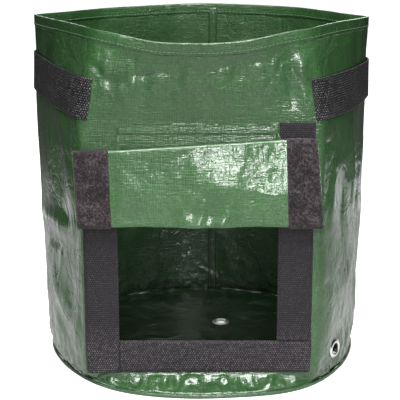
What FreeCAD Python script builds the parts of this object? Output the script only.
import FreeCAD, Part
import math
import os
import PartDesign  # loads the Body, Pad, Pocket and Revolution types
import Sketcher
from FreeCAD import Placement, Rotation, Vector

# Fabric grow bag with webbing handles, a front window ringed by hook tape and a folded-up flap.
# Frame: origin at the centre of the base's underside, +Z up, -Y to the front (the window),
# +X to the right seen from the front. Millimetres.
os.makedirs("parts", exist_ok=True)
doc = FreeCAD.newDocument("grow_bag")

# ---------------------------------------------------------------- driving sizes
# "back" is the distance of a sheet's wall-side face in front of the axis, "face" that of the
# surface its stitching lies on. An entry starting with "=" is worked out from earlier ones.
SIZES = [
    # base and the lip of its seam
    ("base_radius", 175.0), ("base_thick", 1.2), ("recess_deep", 0.7),
    ("lip_radius", 176.4), ("lip_inner", 175.2), ("lip_height", 5.0),
    # wall, rim and window
    ("fabric_thick", 1.0), ("front_plane", 146.0), ("front_half", 125.5),
    ("rim_height", 377.0), ("rim_rise", 0.3), ("hem_depth", 11.0),
    ("window_left", -88.0), ("window_wide", 168.0), ("window_low", 54.0), ("window_tall", 220.0),
    ("window_cut_deep", 40.0), ("window_cut_y", "=-front_plane - window_cut_deep / 2"),
    # thread
    ("thread_thick", 0.4), ("thread_wide", 0.8), ("row_thick", 0.25), ("hinge_row_thick", 2.9),
    ("lip_row_inner", "=lip_radius + 0.1"), ("lip_row_outer", "=lip_row_inner + thread_thick"),
    ("lip_row_low", "=lip_height - 1.8"),
    # hook tapes
    ("hook_thick", 1.4), ("tape_wide", 36.5), ("hook_left_edge", -124.0),
    ("hook_right_edge", 79.5), ("hook_low", 18.0), ("hook_left_tall", 252.0),
    ("hook_right_low", 54.2), ("hook_right_tall", 234.8),
    ("hook_bottom_edge", -87.3), ("hook_bottom_wide", 203.3), ("hook_bottom_tall", 36.0),
    ("hook_face", "=front_plane + hook_thick"),
    # flap
    ("flap_left_edge", -131.5), ("flap_wide", 255.5), ("flap_thick", 0.8), ("flap_top", 281.6),
    ("fold_low", 186.5), ("fold_high", 269.5), ("fold_gap", 0.3), ("tail_low", 189.0),
    ("upper_back", 149.5), ("tail_back", 153.0), ("middle_back", 157.2),
    ("piece_low", "=fold_low + fold_gap"), ("piece_top", "=fold_high - fold_gap"),
    ("upper_tall", "=flap_top - piece_low"), ("middle_tall", "=piece_top - piece_low"),
    ("tail_tall", "=piece_top - tail_low"),
    # loop tapes on the flap
    ("loop_thick", 1.5), ("loop_inset", 1.0), ("loop_wide", 37.0),
    ("loop_right_inset", 217.5), ("loop_bottom_tall", 36.0),
    ("loop_left_edge", "=flap_left_edge + loop_inset"),
    ("loop_right_edge", "=flap_left_edge + loop_right_inset"),
    ("loop_span", "=loop_right_edge - loop_left_edge + loop_wide"),
    ("upper_loop_tall", "=upper_tall - fold_gap - 1"),
    ("tail_loop_low", "=tail_low + loop_bottom_tall + 0.5"),
    ("tail_loop_tall", "=piece_top - tail_loop_low"),
    ("upper_loop_back", "=upper_back - loop_thick"),
    ("middle_loop_back", "=middle_back + flap_thick"),
    ("tail_loop_back", "=tail_back - loop_thick"),
    ("upper_face", "=upper_back + flap_thick"), ("tail_face", "=tail_back + flap_thick"),
    ("middle_face", "=middle_loop_back + loop_thick"),
    # eyelets (all widths are radii) and washers
    ("eyelet_bore", 6.2), ("eyelet_barrel", 6.7), ("eyelet_hole", 6.9),
    ("eyelet_flange", 10.5), ("eyelet_crown", 1.5),
    ("washer_inner", 6.95), ("washer_outer", 10.2), ("washer_thick", 0.55),
    ("wall_washer_low", "=-fabric_thick - 1.2"), ("base_washer_low", 0.05),
    ("base_eyelet_east", 23.6), ("base_eyelet_north", 53.0),
    # handles: the ends are distances along the wall from the front middle
    ("strap_middle", 316.0), ("strap_wide", 45.0), ("strap_thick", 1.5),
    ("strap_end", 124.0), ("strap_rear", 454.0), ("strap_tab", 32.0),
]
dims = doc.addObject("Spreadsheet::Sheet", "dims")
for row, (alias, value) in enumerate(SIZES, start=1):
    dims.set(f"A{row}", alias)
    dims.set(f"B{row}", str(value))
    dims.setAlias(f"B{row}", alias)
doc.recompute()


def size(alias):
    return float(getattr(dims, alias))


FABRIC = size("fabric_thick")
THREAD = size("thread_wide")

# ---------------------------------------------------------------- document helpers
PARTS = []


def part(kind, label):
    """A document object that is written out as a piece."""
    obj = doc.addObject(kind, label)
    obj.Label = label
    PARTS.append(obj)
    return obj


def feature(label, shape):
    part("Part::Feature", label).Shape = shape


def cut(name, base, tool):
    result = doc.addObject("Part::Cut", name)
    result.Base = base
    result.Tool = tool
    return result


def bind(obj, prop, alias):
    obj.setExpression(prop, f"dims.{alias}")


def sketch_on(body, role, name, east=None, north=None, out=None):
    """A sketch on an origin plane, moved by the named sizes along its own three axes."""
    sketch = body.newObject("Sketcher::SketchObject", name)
    origin_plane = next(item for item in body.Origin.OriginFeatures if item.Role == role)
    sketch.AttachmentSupport = [(origin_plane, "")]
    sketch.MapMode = "FlatFace"
    for axis, alias in (("x", east), ("y", north), ("z", out)):
        if alias is not None:
            bind(sketch, f"AttachmentOffset.Base.{axis}", alias)
    return sketch


def closed_lines(sketch, points):
    """Joins the points into a closed polygon and returns the index of its first line."""
    first = sketch.GeometryCount
    count = len(points)
    for i in range(count):
        sketch.addGeometry(Part.LineSegment(points[i], points[(i + 1) % count]), False)
    for i in range(count):
        joint = Sketcher.Constraint("Coincident", first + i, 2, first + (i + 1) % count, 1)
        sketch.addConstraint(joint)
    return first


def rectangle(sketch, wide, tall, east=0.0, north=0.0):
    """A rectangle with its lower left corner at (east, north); returns its size constraints."""
    first = closed_lines(sketch, [
        Vector(east, north, 0), Vector(east + wide, north, 0),
        Vector(east + wide, north + tall, 0), Vector(east, north + tall, 0),
    ])
    rule = Sketcher.Constraint
    sketch.addConstraint(rule("Horizontal", first))
    sketch.addConstraint(rule("Horizontal", first + 2))
    sketch.addConstraint(rule("Vertical", first + 1))
    sketch.addConstraint(rule("Vertical", first + 3))
    if east == 0.0 and north == 0.0:
        sketch.addConstraint(rule("Coincident", first, 1, -1, 1))
    else:
        sketch.addConstraint(rule("DistanceX", -1, 1, first, 1, east))
        sketch.addConstraint(rule("DistanceY", -1, 1, first, 1, north))
    wide_rule = sketch.addConstraint(rule("DistanceX", first, 1, first, 2, wide))
    tall_rule = sketch.addConstraint(rule("DistanceY", first + 1, 1, first + 1, 2, tall))
    return wide_rule, tall_rule


def circle(sketch, alias):
    """A circle round the sketch's origin with the named radius."""
    radius = size(alias)
    index = sketch.addGeometry(Part.Circle(Vector(0, 0, 0), Vector(0, 0, 1), radius), False)
    sketch.addConstraint(Sketcher.Constraint("Coincident", index, 3, -1, 1))
    rule = sketch.addConstraint(Sketcher.Constraint("Radius", index, radius))
    bind(sketch, f"Constraints[{rule}]", alias)


def padded(body, sketch, thick):
    pad = body.newObject("PartDesign::Pad", body.Name + "_pad")
    pad.Profile = sketch
    bind(pad, "Length", thick)
    body.Tip = pad
    return pad


def front_sheet(label, left, wide, low, tall, back, thick):
    """A flat sheet or tape parallel to the front, given by the names of its sizes."""
    body = part("PartDesign::Body", label)
    sketch = sketch_on(body, "XZ_Plane", label + "_outline", left, low, back)
    rules = rectangle(sketch, 50.0, 50.0)  # starting size, driven by the bindings below
    for rule, alias in zip(rules, (wide, tall)):
        bind(sketch, f"Constraints[{rule}]", alias)
    padded(body, sketch, thick)


def thread_rows(label, face, thick, rows):
    """Rows of thread on a flat sheet, each a thin rectangle (left, low, wide, tall)."""
    body = part("PartDesign::Body", label)
    sketch = sketch_on(body, "XZ_Plane", label + "_rows", out=face)
    for left, low, wide, tall in rows:
        rectangle(sketch, wide, tall, left, low)
    pad = padded(body, sketch, thick)
    # The rows are separate faces and make separate solids.
    pad.AllowMultiFace = True
    body.AllowCompound = True


def annulus(label, inner, outer, thick, low=None):
    body = part("PartDesign::Body", label)
    sketch = sketch_on(body, "XY_Plane", label + "_rings", out=low)
    circle(sketch, inner)
    circle(sketch, outer)
    padded(body, sketch, thick)
    return body


# ---------------------------------------------------------------- the wall's outline
# Right half (x, y) from the front bend, round the side crease, to the middle of the back.
LOW = [
    (125.5, -146), (129.5, -124), (147.2, -96.5), (163.5, -69), (174, -31), (178.5, 8),
    (170, 45), (149, 90), (118, 130), (80, 155), (40, 169), (0, 173),
]
MIDDLE = [
    (125.5, -146), (141, -122), (155, -88), (168, -50), (177, -18), (182, 10),
    (168, 48), (147, 89), (120, 127), (83, 150), (42, 166), (0, 172),
]
TOP = [
    (109.2, -136.4), (131, -112), (150, -78), (167, -42), (180, -13), (187.5, 10),
    (172, 46), (149, 86), (119, 122), (83, 141.5), (42, 154.5), (0, 159),
]
CREASE = 5  # index of the side crease in each outline
FOOT_RADIUS = size("base_radius") - 0.2
FRONT_Y = -size("front_plane")


def widened(points, crease_x):
    """The outline stretched sideways to put its crease at crease_x; the front bend stays."""
    factor = crease_x / points[CREASE][0]
    return [points[0]] + [(x * factor, y) for x, y in points[1:]]


def round_half(radius):
    """A circular half outline that starts at the width of the front bend."""
    start = math.degrees(math.asin(size("front_half") / radius))
    angles = [math.radians(start + (180 - start) * i / 11.0) for i in range(12)]
    return [(radius * math.sin(angle), -radius * math.cos(angle)) for angle in angles]


# (height, right half outline, y of the front middle)
LEVELS = [
    (size("base_thick"), round_half(FOOT_RADIUS), -FOOT_RADIUS),
    (size("lip_height"), round_half(FOOT_RADIUS), -FOOT_RADIUS),
    (16.0, LOW, FRONT_Y),
    (36.0, widened(LOW, 179.0), FRONT_Y),
    (140.0, widened(MIDDLE, 183.5), FRONT_Y),
    (292.0, widened(MIDDLE, 185.8), FRONT_Y),
    (392.0, TOP, -168.9),
]
UPPER_FROM = 292.0  # the rim's bands are lofted from this level up


def spline(points):
    curve = Part.BSplineCurve()
    last = len(points) - 1.0
    curve.interpolate(Points=points, Parameters=[i / last for i in range(len(points))])
    return curve


def away_from_axis(normal, point):
    normal.normalize()
    return normal if normal.dot(Vector(point.x, point.y, 0)) > 0 else normal * -1


class Level:
    """The outline at one height: a front edge between the bends and a smooth curve round."""

    def __init__(self, z, half, front_y):
        self.z = z
        self.front_y = front_y
        right = [Vector(x, y, z) for x, y in half]
        left = [Vector(-x, y, z) for x, y in reversed(half[:-1])]
        self.points = right + left
        self.curve = spline(self.points)
        self.straight = abs(front_y - half[0][1]) < 1e-6

    def curve_normal(self, s):
        tangent = self.curve.tangent(s)[0]
        return away_from_axis(Vector(tangent.y, -tangent.x, 0), self.curve.value(s))

    def front_edge(self, right, left, front_y):
        if self.straight:
            return Part.makeLine(left, right)
        return Part.Arc(left, Vector(0, front_y, self.z), right).toShape()

    def front_normal(self, point):
        """The front edge's normal at one of the bends."""
        if self.straight:
            return Vector(0, -1, 0)
        edge = self.front_edge(self.points[0], self.points[-1], self.front_y)
        centre = edge.Curve.Center
        normal = Vector(point.x - centre.x, point.y - centre.y, 0)
        normal.normalize()
        return normal

    def outline(self, offset):
        """The closed wire at a distance outside the outline, mitred at the two bends."""
        last = len(self.points) - 1
        moved = []
        for i, point in enumerate(self.points):
            step = self.curve_normal(i / float(last))
            if i in (0, last):
                front = self.front_normal(point)
                step = (front + step) * (1.0 / (1.0 + front.dot(step)))
            moved.append(point + step * offset)
        front = self.front_edge(moved[0], moved[-1], self.front_y - offset)
        curve = spline(moved)
        breaks = [i / float(last) for i in range(0, last + 1, 2)]
        return Part.Wire([front] + [curve.toShape(u, v) for u, v in zip(breaks, breaks[1:])])


RINGS = [Level(*level) for level in LEVELS]


def around(s, z):
    """A point of the wall's outer face: s runs 0 to 1 from the right bend to the left one."""
    for below, above in zip(RINGS, RINGS[1:]):
        if below.z <= z <= above.z:
            share = (z - below.z) / (above.z - below.z)
            point = below.curve.value(s) * (1 - share) + above.curve.value(s) * share
            return Vector(point.x, point.y, z)
    raise RuntimeError("height outside the wall")


def face_normal(s, z, level=True):
    """The wall's outward normal, kept horizontal when level is true."""
    reach = 0.002
    tangent = around(min(1.0, s + reach), z) - around(max(0.0, s - reach), z)
    if level:
        normal = Vector(tangent.y, -tangent.x, 0)
    else:
        normal = tangent.cross(around(s, z + 1.0) - around(s, z - 1.0))
    return away_from_axis(normal, around(s, z))


def strip(span, heights, gap, thick, steps, mirror=False):
    """A strip following the wall over a span of s and of z, at a gap outside its outer face.

    The gap is a number, or a function of the share of the span; below zero is inward.
    """
    low, high = heights
    wires = []
    for z in sorted({low, high} | {ring.z for ring in RINGS if low < ring.z < high}):
        near, far = [], []
        for i in range(steps + 1):
            share = i / float(steps)
            s = span[0] + (span[1] - span[0]) * share
            point, normal = around(s, z), face_normal(s, z)
            distance = gap(share) if callable(gap) else gap
            near.append(point + normal * distance)
            far.append(point + normal * (distance + thick))
        if mirror:
            near = [Vector(-p.x, p.y, p.z) for p in near]
            far = [Vector(-p.x, p.y, p.z) for p in far]
        near.reverse()
        wires.append(Part.Wire([
            spline(far).toShape(), Part.makeLine(far[-1], near[0]),
            spline(near).toShape(), Part.makeLine(near[-1], far[0]),
        ]))
    return Part.makeLoft(wires, True, True)


# ---------------------------------------------------------------- wall panel
FOOT_EXTRA = 1.2  # the inside is set in by this much more at the two round levels
HOLE_LENGTH = 30.0
# The rim is level from side to side and rises a little towards the back.
RIM_PLACE = Placement(
    Vector(0, 0, size("rim_height")), Rotation(Vector(1, 0, 0), size("rim_rise")))
RIM_BOX = 600.0  # side of the boxes that cut along the rim


def wall_solid(name, offset):
    """The solid inside the outline moved out by offset, lofted through every level."""
    sections = []
    for i, ring in enumerate(RINGS):
        section = doc.addObject("Part::Feature", f"{name}_ring_{i}")
        extra = FOOT_EXTRA if offset < 0 and i < 2 else 0.0
        section.Shape = ring.outline(offset - extra)
        sections.append(section)
    loft = doc.addObject("Part::Loft", name)
    loft.Sections = sections
    loft.Solid = True
    loft.Ruled = True
    loft.Closed = False
    return loft


def rim_cutter():
    box = doc.addObject("Part::Box", "rim_cut")
    box.Length = RIM_BOX
    box.Width = RIM_BOX
    box.Height = 60
    centring = Placement(Vector(-RIM_BOX / 2, -RIM_BOX / 2, 0), Rotation())
    box.Placement = RIM_PLACE.multiply(centring)
    return box


def window_cutter():
    box = doc.addObject("Part::Box", "window_cut")
    bind(box, "Length", "window_wide")
    bind(box, "Width", "window_cut_deep")
    bind(box, "Height", "window_tall")
    bind(box, "Placement.Base.x", "window_left")
    bind(box, "Placement.Base.y", "window_cut_y")
    bind(box, "Placement.Base.z", "window_low")
    return box


def eyelet_seat(target):
    """The wall's point and normal nearest to the target, at the target's height."""
    stations = [i / 1000.0 for i in range(1001)]
    s = min(stations, key=lambda station: (around(station, target.z) - target).Length)
    return around(s, target.z), face_normal(s, target.z, level=False)


EYELETS = {
    "front": eyelet_seat(Vector(146.8, -96.8, 26)),  # right of the window
    "rear": eyelet_seat(Vector(-150, 88, 26)),  # left rear
}


def eyelet_cutter(tag):
    point, normal = EYELETS[tag]
    hole = doc.addObject("Part::Cylinder", f"eyelet_{tag}_hole")
    bind(hole, "Radius", "eyelet_hole")
    hole.Height = HOLE_LENGTH
    turn = Rotation(Vector(0, 0, 1), normal)
    hole.Placement = Placement(point - normal * (HOLE_LENGTH / 2), turn)
    return hole


def wall_panel():
    outside = wall_solid("wall_outside", 0.0)
    inside = wall_solid("wall_inside", -FABRIC)
    shell = cut("wall_shell", outside, inside)
    trimmed = cut("wall_trimmed", shell, rim_cutter())
    opened = cut("wall_opened", trimmed, window_cutter())
    holed = cut("wall_holed_front", opened, eyelet_cutter("front"))
    wall = part("Part::Cut", "wall_panel")
    wall.Base = holed
    wall.Tool = eyelet_cutter("rear")


wall_panel()


# ---------------------------------------------------------------- base panel and its seam
def base_panel():
    """A disc with a hole for the eyelet and a recess in its underside for the washer."""
    body = part("PartDesign::Body", "base_panel")
    sketch = sketch_on(body, "XY_Plane", "base_outline")
    circle(sketch, "base_radius")
    padded(body, sketch, "base_thick")
    doc.recompute()

    place = ("base_eyelet_east", "base_eyelet_north")
    sketch = sketch_on(body, "XY_Plane", "drain_outline", *place)
    circle(sketch, "eyelet_hole")
    hole = body.newObject("PartDesign::Pocket", "drain_hole")
    hole.Profile = sketch
    hole.Type = "ThroughAll"
    hole.Midplane = True
    doc.recompute()

    sketch = sketch_on(body, "XY_Plane", "recess_outline", *place)
    circle(sketch, "eyelet_flange")
    recess = body.newObject("PartDesign::Pocket", "washer_recess")
    recess.Profile = sketch
    bind(recess, "Length", "recess_deep")
    recess.Reversed = True
    body.Tip = recess
    doc.recompute()


base_panel()
annulus("base_seam_lip", "lip_inner", "lip_radius", "lip_height")
annulus("base_seam_stitching", "lip_row_inner", "lip_row_outer", "thread_wide", "lip_row_low")


# ---------------------------------------------------------------- rim hem and its stitching
def rim_band(label, gap, thick, low, tall):
    """A band round the outside of the wall; low is measured from the rim."""
    rings = [ring for ring in RINGS if ring.z >= UPPER_FROM]
    outside = Part.makeLoft([ring.outline(gap + thick) for ring in rings], True, True)
    inside = Part.makeLoft([ring.outline(gap) for ring in rings], True, True)
    box = Part.makeBox(RIM_BOX, RIM_BOX, tall, Vector(-RIM_BOX / 2, -RIM_BOX / 2, low))
    box.Placement = RIM_PLACE
    feature(label, outside.cut(inside).common(box))


HEM = size("hem_depth")
rim_band("rim_hem", 0.12, 0.78, -HEM, HEM)
rim_band("rim_hem_stitching", 1.0, size("thread_thick"), -HEM + 1.4, THREAD)


# ---------------------------------------------------------------- rear seam tape, inside the wall
def rear_station(x):
    """The s of the back wall, right of its middle, that lies at x."""
    stations = [0.4 + 0.1 * i / 2000.0 for i in range(2001)]
    return min(stations, key=lambda s: abs(around(s, 200).x - x))


def rear_strip(right_x, left_x, heights, gap, thick, steps):
    return strip((rear_station(right_x), rear_station(left_x)), heights, gap, thick, steps)


feature("rear_seam_tape", rear_strip(19.0, 9.5, (17.0, 370.0), -FABRIC - 0.95, 0.7, 6))
feature("rear_seam_stitching", Part.makeCompound([
    rear_strip(right_x, left_x, (19.0, 368.0), -FABRIC - 1.4, 0.35, 3)
    for right_x, left_x in ((18.0, 17.3), (11.2, 10.5))
]))

# ---------------------------------------------------------------- hook tapes round the window
# (side, left edge, width, low edge, height)
for side, *outline in (
    ("left", "hook_left_edge", "tape_wide", "hook_low", "hook_left_tall"),
    ("right", "hook_right_edge", "tape_wide", "hook_right_low", "hook_right_tall"),
    ("bottom", "hook_bottom_edge", "hook_bottom_wide", "hook_low", "hook_bottom_tall"),
):
    front_sheet(f"hook_tape_{side}", *outline, "front_plane", "hook_thick")
thread_rows("hook_tape_stitching", "hook_face", "row_thick", [
    (-122.6, 20.0, THREAD, 248.0), (-89.6, 20.0, THREAD, 248.0),
    (81.0, 56.0, THREAD, 231.0), (113.8, 56.0, THREAD, 231.0),
    (-85.6, 19.6, 199.8, THREAD), (-85.6, 51.4, 199.8, THREAD),
])
# The line that sews the flap's top edge to the wall, between the two upright tapes.
thread_rows("flap_hinge_stitching", "front_plane", "hinge_row_thick",
            [(-86.0, 283.0, 164.0, THREAD)])

# ---------------------------------------------------------------- flap, divided where it folds
# Upper third next to the wall, middle third outermost, tail tucked between them.
# (third, low edge, height, back)
for third, *place in (
    ("upper", "piece_low", "upper_tall", "upper_back"),
    ("middle", "piece_low", "middle_tall", "middle_back"),
    ("tail", "tail_low", "tail_tall", "tail_back"),
):
    front_sheet(f"flap_{third}_panel", "flap_left_edge", "flap_wide", *place, "flap_thick")
# Loop tapes: on the wall side of the upper third and the tail, outside the middle third.
for side in ("left", "right"):
    for third, *place in (
        ("upper", "piece_low", "upper_loop_tall", "upper_loop_back"),
        ("middle", "piece_low", "middle_tall", "middle_loop_back"),
        ("tail", "tail_loop_low", "tail_loop_tall", "tail_loop_back"),
    ):
        front_sheet(f"flap_{third}_loop_{side}", f"loop_{side}_edge", "loop_wide",
                    *place, "loop_thick")
front_sheet("flap_tail_loop_bottom", "loop_left_edge", "loop_span",
            "tail_low", "loop_bottom_tall", "tail_loop_back", "loop_thick")


def loop_rows(tall):
    """Two upright rows along each of the two upright loop tapes."""
    return [
        (size(edge) + inset, size("fold_low") + 1.0, THREAD, tall)
        for edge in ("loop_left_edge", "loop_right_edge")
        for inset in (1.2, size("loop_wide") - 2.0)
    ]


thread_rows("flap_middle_stitching", "middle_face", "row_thick",
            loop_rows(size("fold_high") - size("fold_low") - 2.0))
thread_rows("flap_upper_stitching", "upper_face", "row_thick", loop_rows(90.0))
thread_rows("flap_tail_stitching", "tail_face", "row_thick", [
    (size("loop_left_edge") + 3.0, size("tail_low") + rise, size("loop_span") - 6.0, THREAD)
    for rise in (1.0, 34.0)
])


# ---------------------------------------------------------------- eyelets and their washers
def eyelet(label, place, gap, reach):
    """Turned flanged tube: gap is from cloth to flange, reach the tube's depth below."""
    body = part("PartDesign::Body", label)
    sketch = sketch_on(body, "XZ_Plane", label + "_profile")
    bore, barrel = size("eyelet_bore"), size("eyelet_barrel")
    flange, top = size("eyelet_flange"), gap + size("eyelet_crown")
    # (radius, height above the cloth): tube, flange's underside and edge, then its domed top
    profile = [
        (bore, -reach), (barrel, -reach), (barrel, gap), (flange, gap), (flange, gap + 0.35),
        (flange - 1.6, top - 0.15), (flange - 2.6, top), (bore + 1.0, top - 0.1),
        (bore, top - 0.7),
    ]
    closed_lines(sketch, [Vector(radius, height, 0) for radius, height in profile])
    for corner, alias in ((0, "eyelet_bore"), (1, "eyelet_barrel"), (3, "eyelet_flange")):
        distance = Sketcher.Constraint("DistanceX", -1, 1, corner, 1, size(alias))
        bind(sketch, f"Constraints[{sketch.addConstraint(distance)}]", alias)
    turned = body.newObject("PartDesign::Revolution", label + "_turn")
    turned.Profile = sketch
    turned.ReferenceAxis = (sketch, ["V_Axis"])
    turned.Angle = 360.0
    body.Tip = turned
    body.Placement = place


def washer(label, place, low):
    body = annulus(label, "washer_inner", "washer_outer", "washer_thick", low)
    body.Placement = place


for tag, (point, normal) in EYELETS.items():
    seat = Placement(point, Rotation(Vector(0, 0, 1), normal))
    eyelet(f"eyelet_{tag}", seat, gap=0.25, reach=FABRIC + 1.5)
    washer(f"eyelet_{tag}_washer", seat, "wall_washer_low")
drain = Vector(size("base_eyelet_east"), size("base_eyelet_north"), 0)
drain_top = drain + Vector(0, 0, size("base_thick"))
eyelet("base_eyelet", Placement(drain_top, Rotation()), gap=0.1, reach=1.0)
washer("base_eyelet_washer", Placement(drain, Rotation()), "base_washer_low")

# ---------------------------------------------------------------- handles round the side creases
STRAP = size("strap_thick")
STRAP_Z = size("strap_middle")
STRAP_LOW = STRAP_Z - size("strap_wide") / 2
STRAP_HIGH = STRAP_Z + size("strap_wide") / 2
TAB = size("strap_tab")
TAB_CLEARANCE = 1.2  # between a sewn end and the free strap, along the wall


def distance_table(z, steps=400):
    """(distance along the wall from the front middle, s) over the right half."""
    last = around(0.0, z)
    total = last.x * 1.02  # the bowed front edge is a little longer than its half width
    rows = [(total, 0.0)]
    for i in range(1, steps + 1):
        s = 0.5 * i / steps
        point = around(s, z)
        total += (point - last).Length
        rows.append((total, s))
        last = point
    return rows


def at_distance(table, distance):
    """The s at a distance from the front middle, held to the right half."""
    for (near, near_s), (far, far_s) in zip(table, table[1:]):
        if near <= distance <= far:
            return near_s + (far_s - near_s) * (distance - near) / (far - near)
    return 0.0 if distance < table[0][0] else 0.5


def stand_off(share):
    """The free strap's gap from the wall, widest halfway."""
    return 0.5 + math.sin(math.pi * share) ** 0.8


def tab_stitching(tab, mirror):
    """Two upright and two level rows of thread on a sewn end."""
    start, end = tab
    length = end - start
    left, right = start + length * 0.12, start + length * 0.88
    row = length * THREAD / TAB
    low, high = STRAP_LOW + 3.0, STRAP_HIGH - 3.0
    level_span = (left + 2 * row, right - 2 * row)
    rows = [
        ((left, left + row), (low, high), 3),
        ((right - row, right), (low, high), 3),
        (level_span, (low, low + THREAD), 6),
        (level_span, (high - THREAD, high), 6),
    ]
    return [strip(span, z_span, STRAP + 0.25, 0.3, steps, mirror)
            for span, z_span, steps in rows]


def handle(side, mirror):
    table = distance_table(STRAP_Z)
    end, rear = size("strap_end"), size("strap_rear")
    tabs = [
        (max(at_distance(table, end), 0.004), at_distance(table, end + TAB)),
        (at_distance(table, rear - TAB), at_distance(table, rear)),
    ]
    free = (at_distance(table, end + TAB + TAB_CLEARANCE),
            at_distance(table, rear - TAB - TAB_CLEARANCE))
    heights = (STRAP_LOW, STRAP_HIGH)
    feature(f"handle_{side}_sewn_ends", Part.makeCompound(
        [strip(tab, heights, 0.15, STRAP, 8, mirror) for tab in tabs]))
    feature(f"handle_{side}_stitching", Part.makeCompound(
        [row for tab in tabs for row in tab_stitching(tab, mirror)]))
    feature(f"handle_{side}_strap", strip(free, heights, stand_off, STRAP, 24, mirror))


handle("right", mirror=False)
handle("left", mirror=True)

# ---------------------------------------------------------------- recompute, check, write
doc.recompute()
bad = [obj.Name for obj in doc.Objects if "Invalid" in obj.State or "Error" in obj.State]
if bad:
    raise RuntimeError("failed objects: " + ", ".join(bad))
for obj in PARTS:
    shape = obj.Shape
    if shape.isNull() or not shape.isValid() or not shape.Solids:
        raise RuntimeError("bad shape: " + obj.Label)
    solids = shape.Solids
    if any(solid.Volume <= 0 for solid in solids):
        raise RuntimeError("inside-out solid: " + obj.Label)
    piece = solids[0] if len(solids) == 1 else Part.makeCompound(solids)
    piece.exportStep(f"parts/{obj.Label}.step")
